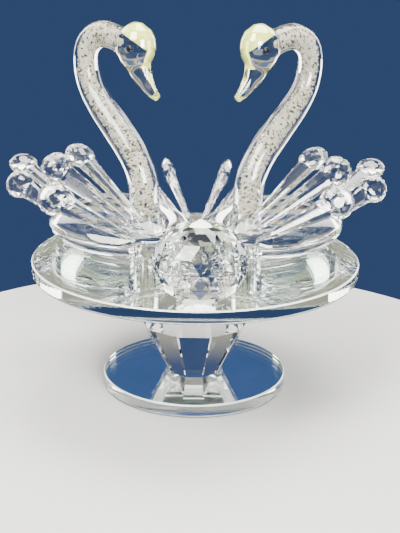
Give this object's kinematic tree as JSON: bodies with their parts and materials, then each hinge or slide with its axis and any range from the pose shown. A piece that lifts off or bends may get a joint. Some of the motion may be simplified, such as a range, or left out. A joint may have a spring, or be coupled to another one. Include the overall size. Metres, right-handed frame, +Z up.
{
  "type": "crystal swan figurine",
  "caption": "Clear cut-crystal swans with sparkling curved necks and faceted feathers, face to face on a round mirror plate behind a faceted ball, on a faceted pedestal.",
  "frame": {"origin": "centre of the lower mirror plate's underside, where the figurine stands", "axes": "+Z up; the faceted ball and the swans' beaks are towards -Y, the front; +X runs from the left swan to the right swan as seen from the front"},
  "size_m": [0.191, 0.1553, 0.1661],
  "materials": {
    "crystal": "clear cut crystal with sharp polished facets",
    "neck_crystal": "smooth clear glass, pale yellow cap on the head, black eyes, crushed crystal sealed in the neck",
    "mirror_plate": "silvered float glass, dark painted back, polished pale green edge"
  },
  "bodies": {
    "root": {"base_plate": "mirror_plate", "faceted_ball": "crystal", "left_swan_body": "crystal", "left_swan_left_tail_feather": "crystal", "left_swan_left_wing_lower_feather": "crystal", "left_swan_left_wing_middle_feather": "crystal", "left_swan_left_wing_upper_feather": "crystal", "left_swan_middle_tail_feather": "crystal", "left_swan_neck_and_head": "neck_crystal", "left_swan_right_tail_feather": "crystal", "left_swan_right_wing_lower_feather": "crystal", "left_swan_right_wing_middle_feather": "crystal", "left_swan_right_wing_upper_feather": "crystal", "pedestal": "crystal", "right_swan_body": "crystal", "right_swan_left_tail_feather": "crystal", "right_swan_left_wing_lower_feather": "crystal", "right_swan_left_wing_middle_feather": "crystal", "right_swan_left_wing_upper_feather": "crystal", "right_swan_middle_tail_feather": "crystal", "right_swan_neck_and_head": "neck_crystal", "right_swan_right_tail_feather": "crystal", "right_swan_right_wing_lower_feather": "crystal", "right_swan_right_wing_middle_feather": "crystal", "right_swan_right_wing_upper_feather": "crystal", "upper_plate": "mirror_plate"}
  },
  "joints": []
}
